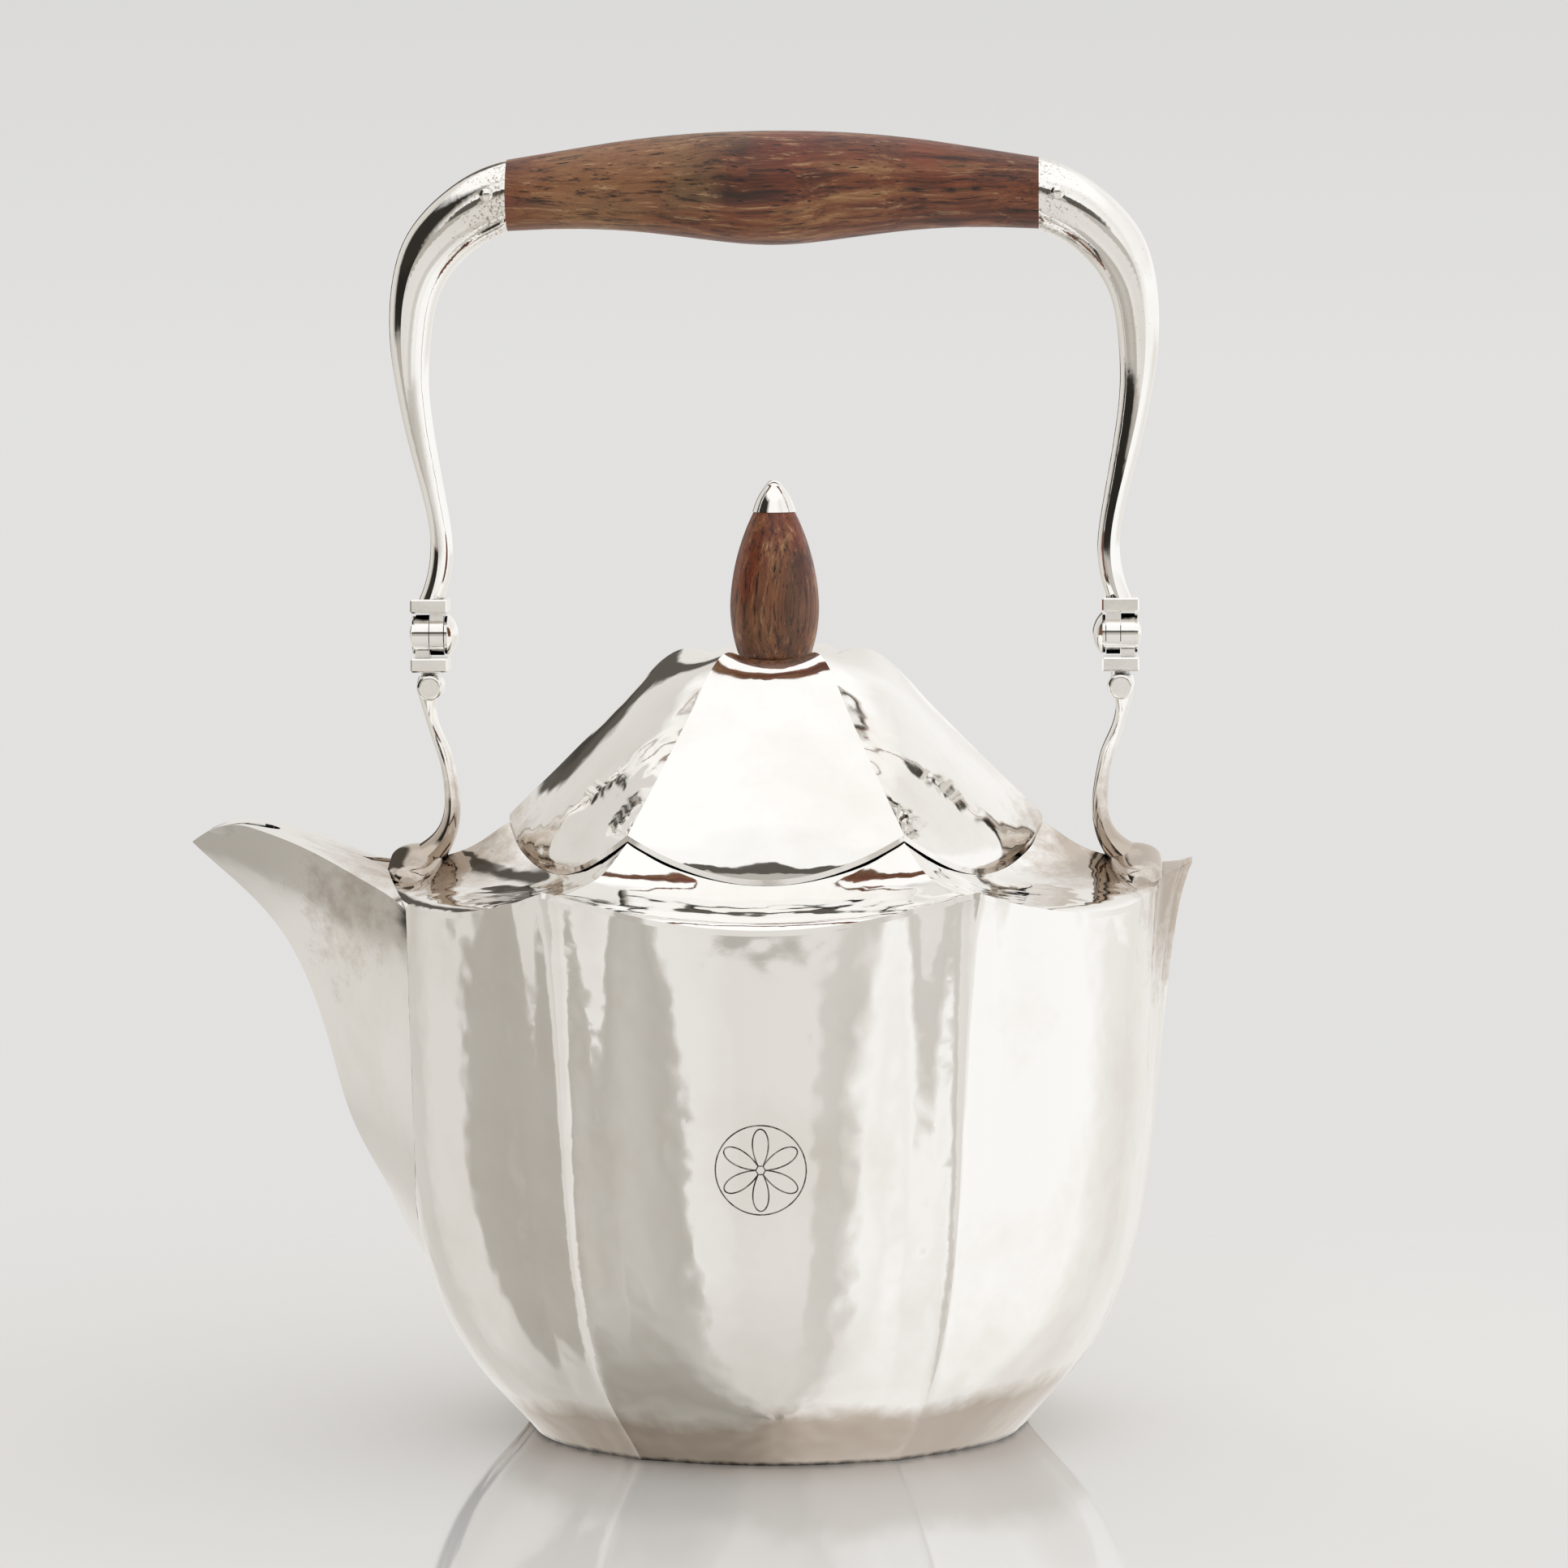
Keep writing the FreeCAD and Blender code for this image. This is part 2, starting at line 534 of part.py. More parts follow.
scroll = scroll.makeFillet(SCROLL_ROUND, [scroll.Edges[0], scroll.Edges[2]])
neck = Part.makeCylinder(NECK_R, hinge_z - size("block_off") - SCROLL_Z, Vector(SCROLL_X, 0, SCROLL_Z))
foot_rings = []
for y, x, z, half_long, half_high in FOOT_STATIONS:
    oval = Part.Ellipse(Vector(x + half_long, y, z), Vector(x, y, z + half_high), Vector(x, y, z))
    foot_rings.append(Part.Wire([oval.toShape()]))
foot = Part.makeLoft(foot_rings, True, False)
bracket = strap.fuse(scroll).fuse(neck).fuse(foot).fuse(knuckle(outer_plate_x, -1))
UNDER_SHOULDER = 25.0
under_shoulder = around([shoulder_top.toShape().extrude(UP * -UNDER_SHOULDER)])
for prism in (under_shoulder[0], under_shoulder[-1]):
    bracket = bracket.cut(prism)
bracket = bracket.cut(pin_bore)
bracket = max(bracket.Solids, key=lambda solid: solid.Volume)

# Heights along a hinge pin, from the middle of the hinge outwards.
INNER_FACE = "-Sheet.plate_gap * 1.5 - Sheet.plate_t"
OUTER_FACE = "Sheet.plate_gap / 2 + Sheet.plate_t"
ACROSS = Vector(1, 0, 0)
for side, hand in (("right", 1), ("left", -1)):
    for name, shape in (("bracket", bracket), ("arm", arm)):
        handed = shape if hand > 0 else shape.mirror(Vector(), ACROSS)
        keep(f"{side}_{name}", handed)

    # Hinge pin: local Z points outwards from the hinge's middle plane.
    outwards = Placement(Vector(hand * hinge_x, 0, hinge_z), Rotation(Vector(0, 1, 0), 90 * hand))
    turned(f"{side}_hinge_pin", [
        ("0", f"{INNER_FACE} - Sheet.washer_t - Sheet.dome_len"),
        ("Sheet.dome_r", f"{INNER_FACE} - Sheet.washer_t", crown("Sheet.dome_r", "Sheet.dome_len")),
        ("Sheet.pin_r", f"{INNER_FACE} - Sheet.washer_t"),
        ("Sheet.pin_r", f"{OUTER_FACE} + Sheet.washer_t"),
        ("Sheet.rivet_r", f"{OUTER_FACE} + Sheet.washer_t"),
        ("0", f"{OUTER_FACE} + Sheet.washer_t + Sheet.rivet_len", crown("Sheet.rivet_r", "Sheet.rivet_len")),
    ], outwards)
    ring(f"{side}_inner_washer", "Sheet.pin_r + Sheet.rivet_play", "Sheet.washer_r",
         f"{INNER_FACE} - Sheet.washer_t", INNER_FACE, outwards)
    ring(f"{side}_outer_washer", "Sheet.pin_r + Sheet.rivet_play", "Sheet.washer_r",
         OUTER_FACE, f"{OUTER_FACE} + Sheet.washer_t", outwards)

    # Grip pin: a plain rivet right through the socket and the tenon.
    crosswise = Placement(Vector(hand * grip_pin_x, 0, grip_z), Rotation(Vector(1, 0, 0), 90))
    turned(f"{side}_grip_pin", [
        ("0", "-Sheet.grip_pin_len / 2 - Sheet.pin_crown"),
        ("Sheet.grip_pin_r", "-Sheet.grip_pin_len / 2", crown("Sheet.grip_pin_r", "Sheet.pin_crown")),
        ("Sheet.grip_pin_r", "Sheet.grip_pin_len / 2"),
        ("0", "Sheet.grip_pin_len / 2 + Sheet.pin_crown", crown("Sheet.grip_pin_r", "Sheet.pin_crown")),
    ], crosswise)

# ---------------------------------------------------------------- grip

grip = doc.addObject("PartDesign::Body", "grip_wood")
grip.Label = "grip_wood"
cross_plane = [f for f in grip.Origin.OriginFeatures if f.Role == "YZ_Plane"][0]
GRIP_STATIONS = [
    # share of the half length, share of the swelling, share of the rise
    (-1.0, 0.00, 0.0), (-0.72, 0.24, 1.1), (-0.42, 0.62, 1.5), (0.0, 1.0, 1.0),
    (0.42, 0.62, 1.5), (0.72, 0.24, 1.1), (1.0, 0.00, 0.0),
]


def cross_circle(name, offset, height_term, radius_term):
    """A circle across the grip, its height and radius bound to the sheet."""
    sketch = grip.newObject("Sketcher::SketchObject", name)
    sketch.AttachmentSupport = (cross_plane, [""])
    sketch.MapMode = "FlatFace"
    sketch.AttachmentOffset = Placement(Vector(0, 0, offset), Rotation())
    height, radius = (float(sheet.evalExpression(term)) for term in (height_term, radius_term))
    sketch.addGeometry(Part.Circle(Vector(0, height, 0), Vector(0, 0, 1), radius), False)
    sketch.addConstraint(Sketcher.Constraint("PointOnObject", 0, 3, -2))
    number = sketch.addConstraint(Sketcher.Constraint("DistanceY", -1, 1, 0, 3, height))
    sketch.setExpression(f"Constraints[{number}]", height_term)
    number = sketch.addConstraint(Sketcher.Constraint("Radius", 0, radius))
    sketch.setExpression(f"Constraints[{number}]", radius_term)
    return sketch


sections = []
for number, (along, swell, rise) in enumerate(GRIP_STATIONS):
    section = cross_circle(f"grip_section_{number}", 0.0, f"Sheet.grip_z + Sheet.grip_rise * {rise}",
                           f"Sheet.grip_end_r + (Sheet.grip_mid_r - Sheet.grip_end_r) * {swell}")
    section.setExpression("AttachmentOffset.Base.z", f"Sheet.grip_half * {along}")
    sections.append(section)
swelling = grip.newObject("PartDesign::AdditiveLoft", "grip_swelling")
swelling.Profile = sections[0]
swelling.Sections = sections[1:]
tenon_circle = cross_circle("tenon_circle", 0.0, "Sheet.grip_z", "Sheet.tenon_r")
tenons = grip.newObject("PartDesign::Pad", "grip_tenons")
tenons.Profile = tenon_circle
tenons.SideType = "Symmetric"
tenons.setExpression("Length", "2 * (Sheet.grip_half + Sheet.tenon_len)")
hole_plane = [f for f in grip.Origin.OriginFeatures if f.Role == "XZ_Plane"][0]
holes = grip.newObject("Sketcher::SketchObject", "tenon_holes")
holes.AttachmentSupport = (hole_plane, [""])
holes.MapMode = "FlatFace"
hole_r = size("grip_pin_r") + size("rivet_play")
for number, hand in enumerate((1, -1)):
    holes.addGeometry(Part.Circle(Vector(hand * grip_pin_x, grip_z, 0), Vector(0, 0, 1), hole_r), False)
    for kind, value, term in (
            ("DistanceX", hand * grip_pin_x, f"{hand} * (Sheet.grip_half + Sheet.grip_pin_in)"),
            ("DistanceY", grip_z, "Sheet.grip_z")):
        place = holes.addConstraint(Sketcher.Constraint(kind, -1, 1, number, 3, value))
        holes.setExpression(f"Constraints[{place}]", term)
    place = holes.addConstraint(Sketcher.Constraint("Radius", number, hole_r))
    holes.setExpression(f"Constraints[{place}]", "Sheet.grip_pin_r + Sheet.rivet_play")
drilled = grip.newObject("PartDesign::Pocket", "tenon_pin_holes")
drilled.Profile = holes
drilled.SideType = "Symmetric"
drilled.Length = DRILL_LEN
pieces.append(grip)

# ---------------------------------------------------------------- check and write

doc.recompute()
for thing in doc.Objects:
    if "Invalid" in thing.State or "Error" in thing.State:
        raise RuntimeError(f"{thing.Label} failed: {thing.State}")
os.makedirs("parts", exist_ok=True)
for piece in pieces:
    if piece.Shape.isNull() or not piece.Shape.isValid() or not piece.Shape.Solids:
        raise RuntimeError(f"{piece.Label} has no valid solid")
    piece.Shape.exportStep(f"parts/{piece.Label}.step")
    box = piece.Shape.BoundBox
    print(f"{piece.Label:20s} {len(piece.Shape.Solids)} solid, {piece.Shape.Volume:9.1f} mm3, "
          f"x {box.XMin:7.2f} {box.XMax:7.2f}  y {box.YMin:7.2f} {box.YMax:7.2f}  "
          f"z {box.ZMin:7.2f} {box.ZMax:7.2f}")
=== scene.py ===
import json
import math

import bmesh
import bpy
from mathutils import Matrix, Vector


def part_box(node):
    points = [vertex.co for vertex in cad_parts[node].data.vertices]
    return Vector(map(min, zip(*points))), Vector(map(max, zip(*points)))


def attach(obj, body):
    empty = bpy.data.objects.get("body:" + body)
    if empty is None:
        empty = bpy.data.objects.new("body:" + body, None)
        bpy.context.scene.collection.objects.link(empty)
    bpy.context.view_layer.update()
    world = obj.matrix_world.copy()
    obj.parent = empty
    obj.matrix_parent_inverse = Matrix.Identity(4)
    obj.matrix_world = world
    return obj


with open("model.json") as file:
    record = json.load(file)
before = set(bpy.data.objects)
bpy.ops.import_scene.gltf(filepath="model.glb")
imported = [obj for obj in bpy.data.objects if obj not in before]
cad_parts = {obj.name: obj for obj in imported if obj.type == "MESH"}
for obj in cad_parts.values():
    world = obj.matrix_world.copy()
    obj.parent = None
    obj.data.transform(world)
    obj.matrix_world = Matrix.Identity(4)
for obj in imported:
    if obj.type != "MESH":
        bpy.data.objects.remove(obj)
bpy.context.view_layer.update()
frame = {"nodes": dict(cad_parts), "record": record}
nodes = frame["nodes"]


# ---------------------------------------------------------------- node helpers

class Graph:
    """A material's node tree with short calls for adding and linking nodes."""

    def __init__(self, name):
        self.material = bpy.data.materials.new(name)
        self.material.use_nodes = True
        self.tree = self.material.node_tree
        self.shader = self.tree.nodes["Principled BSDF"]

    def add(self, kind, **settings):
        node = self.tree.nodes.new("ShaderNode" + kind)
        for key, value in settings.items():
            setattr(node, key, value)
        return node

    def link(self, source, target):
        self.tree.links.new(source, target)

    def place(self, scale):
        """Object coordinates stretched by scale."""
        coordinates = self.add("TexCoord")
        mapping = self.add("Mapping")
        mapping.inputs["Scale"].default_value = scale
        self.link(coordinates.outputs["Object"], mapping.inputs["Vector"])
        return mapping.outputs["Vector"]

    def noise(self, vector, scale, detail, roughness=0.5):
        node = self.add("TexNoise")
        node.inputs["Scale"].default_value = scale
        node.inputs["Detail"].default_value = detail
        node.inputs["Roughness"].default_value = roughness
        self.link(vector, node.inputs["Vector"])
        return node.outputs["Fac"]

    def ramp(self, value, stops):
        """A colour ramp; stops are (position, colour)."""
        node = self.add("ValToRGB")
        elements = node.color_ramp.elements
        while len(elements) < len(stops):
            elements.new(0.5)
        for element, (position, colour) in zip(elements, stops):
            element.position = position
            element.color = (*colour, 1.0)
        self.link(value, node.inputs["Fac"])
        return node.outputs["Color"]

    def span(self, value, low, high, out_low, out_high):
        """The value's stretch from low to high, mapped onto out_low to out_high and held there."""
        node = self.add("MapRange")
        limits = {"From Min": low, "From Max": high, "To Min": out_low, "To Max": out_high}
        for name, number in limits.items():
            node.inputs[name].default_value = number
        self.link(value, node.inputs["Value"])
        return node.outputs["Result"]

    def mix(self, factor, first, second):
        """A blend of two colours; each value may be a socket, a colour or a number."""
        node = self.add("Mix", data_type="RGBA")
        sockets = (node.inputs["Factor"], *node.inputs[6:8])
        for socket, value in zip(sockets, (factor, first, second)):
            if isinstance(value, bpy.types.NodeSocket):
                self.link(value, socket)
            elif isinstance(value, tuple):
                socket.default_value = (*value, 1.0)
            else:
                socket.default_value = value
        return node.outputs[2]

    def maths(self, operation, *values):
        node = self.add("Math", operation=operation)
        for socket, value in zip(node.inputs, values):
            if isinstance(value, bpy.types.NodeSocket):
                self.link(value, socket)
            else:
                socket.default_value = value
        return node.outputs[0]

    def bump(self, height, strength, distance, normal=None):
        """A bump distance metres high, on top of an earlier one if normal is given."""
        node = self.add("Bump")
        node.inputs["Strength"].default_value = strength
        node.inputs["Distance"].default_value = distance
        self.link(height, node.inputs["Height"])
        if normal is not None:
            self.link(normal, node.inputs["Normal"])
        return node.outputs["Normal"]


# ---------------------------------------------------------------- materials

POLISH = (0.955, 0.945, 0.925)
TARNISH = (0.83, 0.80, 0.745)
BROWN = (0.42, 0.33, 0.25)
PITTED = (0.24, 0.175, 0.115)
OXIDE = (0.030, 0.026, 0.022)
# the middle of a bracket's foot, on the right-hand side
bracket_low, bracket_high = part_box("right_bracket")
FOOT_INSET = 0.008
FOOT_AT = (bracket_high[0] - FOOT_INSET, 0.0, bracket_low[2])
# how far the painted brown reflection round a bracket's foot reaches
REFLECTION_REACH = 0.030
# height of the brown band at the foot of the bowl: tarnish with painted shade
BAND_HEIGHT = 0.018
# how far from the middle the pitting round the grip's sockets is thickest, and where it ends
PITTED_FROM, PITTED_TO = 0.0520, 0.0640
CLOUD_SCALE, HAZE_SCALE, GRIME_SCALE, REFLECTION_SCALE, PIT_SCALE = 26, 70, 420, 230, 1900
SWELL_SCALE, DENT_SCALE, PLANISH_SCALE, SCRATCH_SCALE = 42, 130, 210, 1300
SCRATCH_DEPTH = 0.000003


def silver(name, hammer, roughness, crevice, socket_pits=False):
    """Silver with planishing marks hammer metres deep, cloudy tarnish, and black oxide left in
    every crevice narrower than crevice metres."""
    g = Graph(name)
    g.shader.inputs["Metallic"].default_value = 1.0
    place = g.place((1, 1, 1))
    spread = g.add("SeparateXYZ")
    g.link(place, spread.inputs[0])
    clouds = g.noise(place, CLOUD_SCALE, 5, 0.62)
    colour = g.mix(g.span(clouds, 0.50, 0.78, 0.0, 0.8), POLISH, TARNISH)

    # brown along the foot of the bowl, its edge as uneven as the clouds: partly tarnish, partly painted
    # shade standing for the table's shadow mirrored in the foot
    foot_line = g.maths("MULTIPLY_ADD", clouds, BAND_HEIGHT, g.maths("MULTIPLY", spread.outputs["Z"], -1.0))
    colour = g.mix(g.span(foot_line, -0.0035, 0.0005, 0.0, 0.72), colour, BROWN)

    # a painted brown reflection round the feet of the two brackets, where they are soldered down
    from_middle = g.maths("ABSOLUTE", spread.outputs["X"])
    sideways = g.add("CombineXYZ")
    g.link(from_middle, sideways.inputs["X"])
    g.link(spread.outputs["Y"], sideways.inputs["Y"])
    g.link(spread.outputs["Z"], sideways.inputs["Z"])
    apart = g.add("VectorMath", operation="DISTANCE")
    apart.inputs[1].default_value = FOOT_AT
    g.link(sideways.outputs[0], apart.inputs[0])
    blotches = g.noise(place, REFLECTION_SCALE, 5, 0.7)
    bracket_reflection = g.maths("MULTIPLY_ADD", blotches, -REFLECTION_REACH, apart.outputs["Value"])
    colour = g.mix(g.span(bracket_reflection, -0.003, 0.012, 0.75, 0.0), colour, BROWN)

    # fine dark pits, thick round the sockets of the grip and rare elsewhere
    pits = g.noise(place, PIT_SCALE, 3, 0.65)
    if socket_pits:
        depth = g.span(from_middle, PITTED_FROM, PITTED_TO, 0.46, 0.31)
        depth = g.maths("ADD", depth, g.span(clouds, 0.3, 0.7, -0.07, 0.07))
        colour = g.mix(g.span(g.maths("SUBTRACT", depth, pits), 0.0, 0.10, 0.0, 0.75), colour, PITTED)
    else:
        colour = g.mix(g.span(pits, 0.225, 0.245, 1.0, 0.0), colour, BROWN)

    hollow = g.add("AmbientOcclusion", samples=8)
    hollow.inputs["Distance"].default_value = crevice
    grime = g.maths("MULTIPLY_ADD", g.noise(place, GRIME_SCALE, 3, 0.6), 0.5, hollow.outputs["AO"])
    colour = g.mix(g.span(grime, 0.46, 0.80, 1.0, 0.0), colour, OXIDE)
    g.link(colour, g.shader.inputs["Base Color"])

    haze = g.noise(place, HAZE_SCALE, 6, 0.65)
    g.link(g.span(haze, 0.35, 0.70, roughness * 0.6, roughness * 1.7), g.shader.inputs["Roughness"])
    swell = g.noise(place, SWELL_SCALE, 1)
    dents = g.noise(place, DENT_SCALE, 1, 0.6)
    planish = g.add("TexVoronoi", feature="SMOOTH_F1")
    planish.inputs["Scale"].default_value = PLANISH_SCALE
    planish.inputs["Smoothness"].default_value = 0.6
    g.link(place, planish.inputs["Vector"])
    normal = g.bump(swell, 1.0, hammer * 2.6)
    normal = g.bump(dents, 1.0, hammer * 1.3, normal)
    normal = g.bump(planish.outputs["Distance"], 1.0, hammer * 0.30, normal)
    normal = g.bump(g.noise(place, SCRATCH_SCALE, 3, 0.6), 1.0, SCRATCH_DEPTH, normal)
    g.link(normal, g.shader.inputs["Normal"])
    return g.material


FIGURE_SCALE, LINE_SCALE, PORE_SCALE, RED_SCALE, WORN_SCALE = 210, 900, 2600, 48, 31
GRAIN_WANDER = 0.005
PORE_DEPTH = 0.00010


def rosewood(name, stretch):
    """Worn rosewood: red-brown to gold figure, near-black lines and open pores along the grain, which
    follows the axis that stretch makes long."""
    g = Graph(name)
    even = g.place((1, 1, 1))
    cloud = g.add("TexNoise")
    cloud.inputs["Scale"].default_value = 38
    cloud.inputs["Detail"].default_value = 2
    g.link(even, cloud.inputs["Vector"])
    bend = g.add("VectorMath", operation="MULTIPLY_ADD")
    bend.inputs[1].default_value = (GRAIN_WANDER,) * 3
    g.link(cloud.outputs["Color"], bend.inputs[0])
    g.link(g.place(stretch), bend.inputs[2])
    grain = bend.outputs[0]
    figure = g.noise(grain, FIGURE_SCALE, 5, 0.65)
    colour = g.ramp(figure, [(0.32, (0.040, 0.014, 0.009)), (0.43, (0.120, 0.034, 0.017)),
                             (0.52, (0.215, 0.064, 0.027)), (0.60, (0.300, 0.130, 0.052)),
                             (0.70, (0.480, 0.270, 0.115))])
    red = g.noise(even, RED_SCALE, 2)
    colour = g.mix(g.span(red, 0.50, 0.62, 0.0, 0.60), colour, (0.260, 0.050, 0.020))
    worn = g.noise(even, WORN_SCALE, 2)
    colour = g.mix(g.span(worn, 0.50, 0.66, 0.0, 0.55), colour, (0.370, 0.200, 0.085))
    lines = g.noise(grain, LINE_SCALE, 6, 0.78)
    colour = g.mix(g.span(lines, 0.38, 0.48, 0.92, 0.0), colour, (0.030, 0.013, 0.009))
    colour = g.mix(g.span(lines, 0.56, 0.68, 0.0, 0.80), colour, (0.600, 0.380, 0.200))
    pores = g.noise(grain, PORE_SCALE, 1)
    holes = g.span(pores, 0.27, 0.32, 1.0, 0.0)
    g.link(g.mix(holes, colour, (0.010, 0.006, 0.004)), g.shader.inputs["Base Color"])
    g.link(g.span(lines, 0.3, 0.7, 0.48, 0.34), g.shader.inputs["Roughness"])
    normal = g.bump(lines, 0.5, PORE_DEPTH)
    g.link(g.bump(holes, 1.0, -PORE_DEPTH, normal), g.shader.inputs["Normal"])
    return g.material


# name, depth of the marks, roughness, widest crevice that holds oxide
SILVER_HAMMERED = silver("hammered_silver", 0.00017, 0.050, 0.0016)
SILVER_SPOUT = silver("spout_silver", 0.00005, 0.110, 0.0016)
SILVER_POLISHED = silver("polished_silver", 0.00002, 0.060, 0.0013)
SILVER_HINGE = silver("hinge_silver", 0.00002, 0.065, 0.0030)
SILVER_ARM = silver("arm_silver", 0.00002, 0.060, 0.0026, socket_pits=True)
GRIP_WOOD = rosewood("rosewood_along_x", (0.07, 1.0, 1.0))
KNOB_WOOD = rosewood("rosewood_along_z", (1.0, 1.0, 0.07))
BY_SLOT = {"silver_hammered": SILVER_HAMMERED, "silver_polished": SILVER_POLISHED, "rosewood": GRIP_WOOD}
BY_NODE = {"knob_wood": KNOB_WOOD, "spout_shell": SILVER_SPOUT, "spout_cover": SILVER_SPOUT}
for side in ("left", "right"):
    BY_NODE[f"{side}_arm"] = SILVER_ARM
    BY_NODE[f"{side}_grip_pin"] = SILVER_HINGE
    for piece in ("bracket", "hinge_pin", "inner_washer", "outer_washer"):
        BY_NODE[f"{side}_{piece}"] = SILVER_HINGE

for part in frame["record"]["subparts"]:
    obj = nodes[part["node"]]
    material = BY_NODE.get(part["node"], BY_SLOT[part["material_slot"]])
    for slot in obj.material_slots:
        slot.material = material

# ---------------------------------------------------------------- engraved rosette

# A plain six-petal rosette in a ring, in the middle of the front panel, as thin black-filled lines.
ROSETTE_UP = 0.0600
ROSETTE_R = 0.0072
RING_R = 0.0084
LINE_HALF = 0.00013
PROUD, SUNK = 0.00002, 0.00030
PETALS = 6
HALF_PETAL_STEPS = 15
STEP_DEGREES = 2
PETAL_GAP = 4 * LINE_HALF
RING_STEPS = 72
IN_FRONT = -0.2


def on_wall(across, up):
    """The point on the front panel's outer face at this place, and the normal there."""
    start = Vector((across, IN_FRONT, up))
    _, place, normal, _ = nodes["body_wall"].ray_cast(start, Vector((0, 1, 0)))
    return place, normal


def engraved_loop(mesh, points):
    """Add a thin closed band along these points of the panel: (across, up), in metres."""
    rails = []
    for index, (across, up) in enumerate(points):
        before, after = points[index - 1], points[(index + 1) % len(points)]
        along = Vector((after[0] - before[0], after[1] - before[1])).normalized()
        corners = []
        for side, lift in ((-1, -SUNK), (-1, PROUD), (1, PROUD), (1, -SUNK)):
            sideways = side * LINE_HALF
            place, normal = on_wall(across - sideways * along.y, up + sideways * along.x)
            corners.append(mesh.verts.new(place + normal * lift))
        rails.append(corners)
    for index, here in enumerate(rails):
        there = rails[(index + 1) % len(rails)]
        for corner in range(4):
            following = (corner + 1) % 4
            mesh.faces.new((here[corner], here[following], there[following], there[corner]))


def petal(number):
    """Outline of one petal: the six-petal rose curve round its own direction."""
    outline = []
    for step in range(-HALF_PETAL_STEPS, HALF_PETAL_STEPS):
        turn = math.radians(STEP_DEGREES * (step + 0.5))
        radius = ROSETTE_R * math.cos(PETALS / 2 * turn) + PETAL_GAP
        turn += 2 * math.pi * number / PETALS
        outline.append((radius * math.sin(turn), ROSETTE_UP + radius * math.cos(turn)))
    return outline


lines = bmesh.new()
for number in range(PETALS):
    engraved_loop(lines, petal(number))
ring = []
for step in range(RING_STEPS):
    turn = 2 * math.pi * step / RING_STEPS
    ring.append((RING_R * math.sin(turn), ROSETTE_UP + RING_R * math.cos(turn)))
engraved_loop(lines, ring)
bmesh.ops.recalc_face_normals(lines, faces=lines.faces)
rosette_mesh = bpy.data.meshes.new("engraved_rosette")
lines.to_mesh(rosette_mesh)
lines.free()
rosette = bpy.data.objects.new("engraved_rosette", rosette_mesh)
bpy.context.collection.objects.link(rosette)
filling = Graph("engraved_line")
filling.shader.inputs["Metallic"].default_value = 1.0
filling.shader.inputs["Roughness"].default_value = 0.35
worn_off = filling.noise(filling.place((1, 1, 1)), 600, 3, 0.6)
shade = filling.ramp(worn_off, [(0.40, OXIDE), (0.65, (0.34, 0.31, 0.27))])
filling.link(shade, filling.shader.inputs["Base Color"])
rosette_mesh.materials.append(filling.material)
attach(rosette, "pot")

# ---------------------------------------------------------------- stage and light

FLOOR_R = 0.40
FADE_FROM, FADE_TO = 0.17, 0.36
FLOOR_RIM = 96
floor_mesh = bpy.data.meshes.new("floor")
rim = []
for number in range(FLOOR_RIM):
    turn = 2 * math.pi * number / FLOOR_RIM
    rim.append((FLOOR_R * math.cos(turn), FLOOR_R * math.sin(turn), 0.0))
floor_mesh.from_pydata(rim, [], [list(range(FLOOR_RIM))])
floor = bpy.data.objects.new("floor", floor_mesh)
bpy.context.collection.objects.link(floor)
gloss = Graph("pale_floor")
gloss.shader.inputs["Base Color"].default_value = (0.86, 0.857, 0.852, 1.0)
gloss.shader.inputs["Roughness"].default_value = 0.05
gloss.shader.inputs["IOR"].default_value = 1.6
reach = gloss.add("VectorMath", operation="LENGTH")
gloss.link(gloss.place((1, 1, 1)), reach.inputs[0])
gloss.link(gloss.span(reach.outputs["Value"], FADE_FROM, FADE_TO, 1.0, 0.0), gloss.shader.inputs["Alpha"])
floor_mesh.materials.append(gloss.material)
# the silver mirrors the studio's low walls, as though the table were far larger and glossier
floor.visible_glossy = False

# The studio, as brightness round the pot by compass bearing: 0 is the side that the front panel
# faces and +90 is its right. A white wall stands on the right, a grey one with dark gaps on the
# left, and a white sweep behind. TABLE_RING is what the foot mirrors, LOW_RING the walls, and
# EYE_RING and HIGH_RING the lid, shoulder and arms.
LOW_RING = [(-180, 0.82), (-158, 0.74), (-150, 0.62), (-136, 0.60), (-124, 0.70), (-102, 0.70),
            (-97, 0.44), (-76, 0.42), (-62, 0.50), (-57, 0.54), (-38, 0.46), (-34, 0.52), (-31, 0.80),
            (-20, 0.78), (-12, 0.74), (16, 0.76), (19, 0.62), (30, 0.60), (34, 0.72), (39, 0.94),
            (50, 0.88), (62, 0.98), (104, 1.00), (118, 0.86), (135, 0.80), (160, 0.86), (180, 0.82)]
TABLE_RING = [(-180, 0.60), (-130, 0.40), (-90, 0.30), (-60, 0.34), (-30, 0.62), (10, 0.66), (30, 0.62),
              (50, 0.82), (100, 0.90), (140, 0.72), (180, 0.60)]
EYE_RING = [(-180, 0.78), (-168, 0.76), (-165, 0.05), (-151, 0.06), (-148, 0.72), (-118, 0.70),
            (-106, 0.42), (-100, 0.02), (-43, 0.02), (-38, 0.30), (-28, 0.42), (20, 0.50), (45, 0.62),
            (62, 0.88), (80, 1.02), (170, 0.98), (180, 0.80)]
HIGH_RING = [(-180, 0.80), (-168, 0.80), (-164, 0.10), (-152, 0.10), (-148, 0.74), (-120, 0.68),
             (-110, 0.62), (-103, 0.03), (-43, 0.03), (-36, 0.40), (-28, 1.00), (18, 1.02), (45, 0.85),
             (60, 0.98), (105, 0.92), (122, 0.88), (150, 0.96), (168, 0.84), (180, 0.80)]
OVERHEAD = 1.06
SLIT_LEVEL, SLIT_RISE = 0.10, 0.25
BACKDROP_LOW, BACKDROP_HIGH = 0.755, 0.690
# the brightest that the studio may be
MOST = 1.1

world = bpy.data.worlds.new("studio")
bpy.context.scene.world = world
world.use_nodes = True


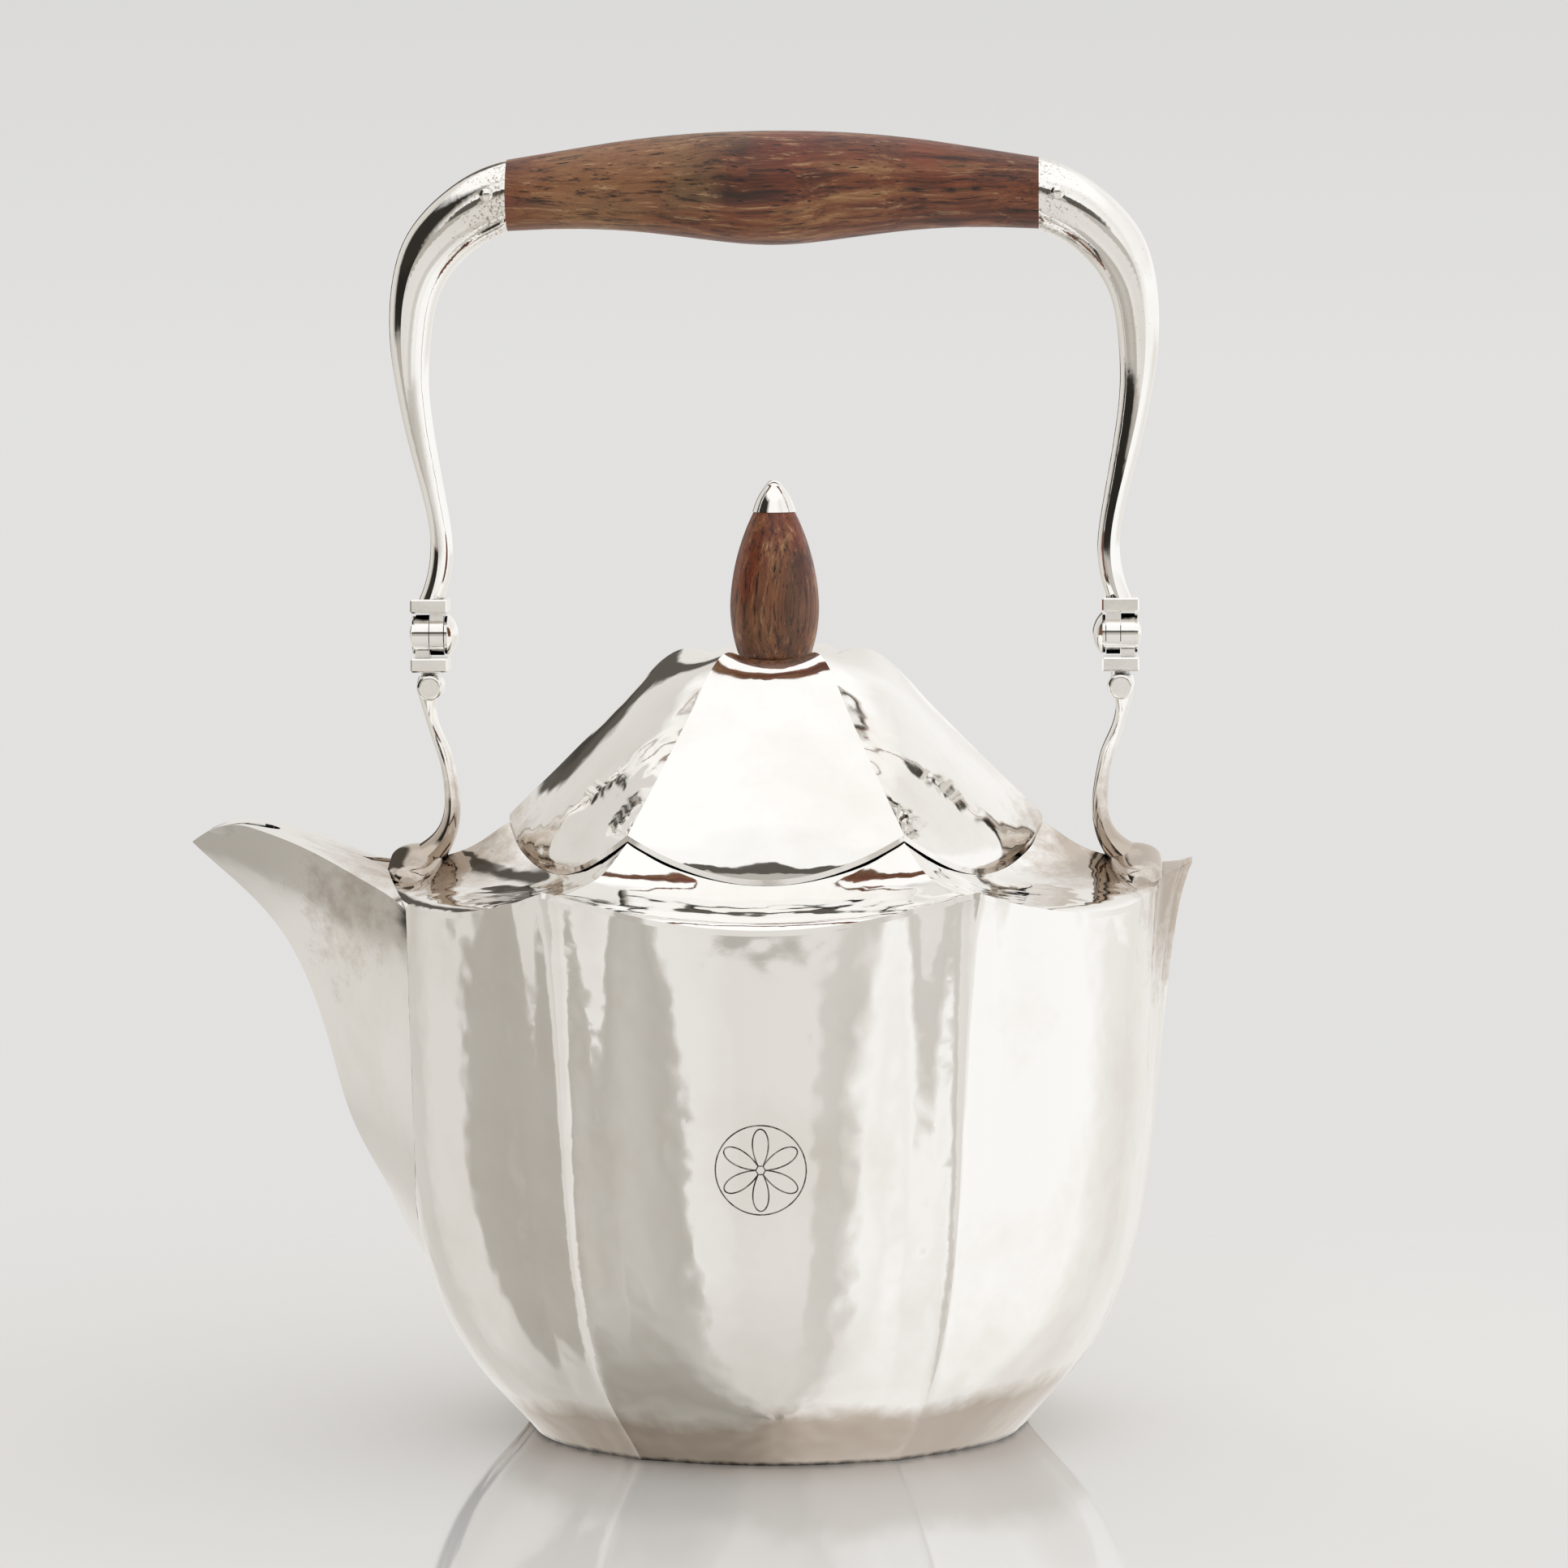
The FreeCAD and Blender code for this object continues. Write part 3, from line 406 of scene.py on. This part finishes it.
def tinted(level):
    """A grey of this brightness, the warmer the darker it is, as a share of MOST."""
    warmth = 0.007 + 0.10 * max(0.0, 1.0 - level)
    return tuple(level * share / MOST for share in (1 + warmth, 1.0, 1 - 1.5 * warmth))


def plain(level):
    """An almost neutral grey of this brightness, as a share of MOST."""
    return tuple(level * share / MOST for share in (1.008, 1.0, 0.988))


class Sky(Graph):
    """The world's node tree, with the same short calls as a material's."""

    def __init__(self, owner):
        self.tree = owner.node_tree
        self.background = self.tree.nodes["Background"]

    def ring(self, bearing, stops):
        return self.ramp(bearing, [(angle / 360 + 0.5, tinted(level)) for angle, level in stops])


sky = Sky(world)
direction = sky.add("TexCoord")
parts = sky.add("SeparateXYZ")
sky.link(direction.outputs["Generated"], parts.inputs[0])
straight_rise = parts.outputs["Z"]
# the walls' edges are uneven
ragged = sky.noise(direction.outputs["Generated"], 5, 4, 0.6)
rise = sky.maths("ADD", straight_rise, sky.span(ragged, 0.0, 1.0, -0.05, 0.05))
toward_front = sky.maths("MULTIPLY", parts.outputs["Y"], -1.0)
bearing = sky.maths("ARCTAN2", parts.outputs["X"], toward_front)
bearing = sky.maths("MULTIPLY_ADD", bearing, 1 / (2 * math.pi), 0.5)
bearing = sky.maths("ADD", bearing, sky.span(ragged, 0.0, 1.0, -0.012, 0.012))
below = sky.mix(sky.span(rise, -0.90, -0.55, 0.0, 1.0), sky.ring(bearing, TABLE_RING),
                sky.ring(bearing, LOW_RING))
studio = sky.mix(sky.span(rise, -0.07, -0.03, 0.0, 1.0), below, sky.ring(bearing, EYE_RING))
studio = sky.mix(sky.span(rise, 0.15, 0.22, 0.0, 1.0), studio, sky.ring(bearing, HIGH_RING))
studio = sky.mix(sky.span(rise, 0.66, 0.76, 0.0, 1.0), studio, tinted(OVERHEAD))

# an unlit slit in front, between the table and the overhead screen
aside = sky.maths("ABSOLUTE", sky.maths("SUBTRACT", bearing, 0.5))
slit_side = sky.span(aside, 0.070, 0.085, 1.0, 0.0)
off_height = sky.maths("ABSOLUTE", sky.maths("SUBTRACT", rise, SLIT_RISE))
slit_rise = sky.span(off_height, 0.085, 0.100, 1.0, 0.0)
studio = sky.mix(sky.maths("MULTIPLY", slit_side, slit_rise), studio, tinted(SLIT_LEVEL))

backdrop = sky.mix(sky.span(straight_rise, -0.02, 0.05, 0.0, 1.0), plain(BACKDROP_LOW),
                   plain(BACKDROP_HIGH))
seen = sky.add("LightPath")
sky.link(sky.mix(seen.outputs["Is Camera Ray"], studio, backdrop), sky.background.inputs["Color"])
sky.background.inputs["Strength"].default_value = MOST
bpy.context.scene.view_settings.view_transform = "Standard"

# ---------------------------------------------------------------- camera

CAMERA_DISTANCE = 1.279
CAMERA_HEIGHT = 0.2307
AZIMUTH = math.radians(2.395)
HEADING = math.radians(2.321)
PITCH = math.radians(4.708)
ROLL = math.radians(-0.269)
LENS, SENSOR = 151.3, 36.0
camera = bpy.data.cameras.new("camera")
camera.lens = LENS
camera.sensor_width = SENSOR
camera_object = bpy.data.objects.new("camera", camera)
bpy.context.collection.objects.link(camera_object)
spot = Vector((math.sin(AZIMUTH), -math.cos(AZIMUTH), 0)) * CAMERA_DISTANCE
spot.z = CAMERA_HEIGHT
camera_object.matrix_world = (Matrix.Translation(spot) @ Matrix.Rotation(HEADING, 4, "Z")
                              @ Matrix.Rotation(math.pi / 2 - PITCH, 4, "X")
                              @ Matrix.Rotation(ROLL, 4, "Z"))
bpy.context.scene.camera = camera_object
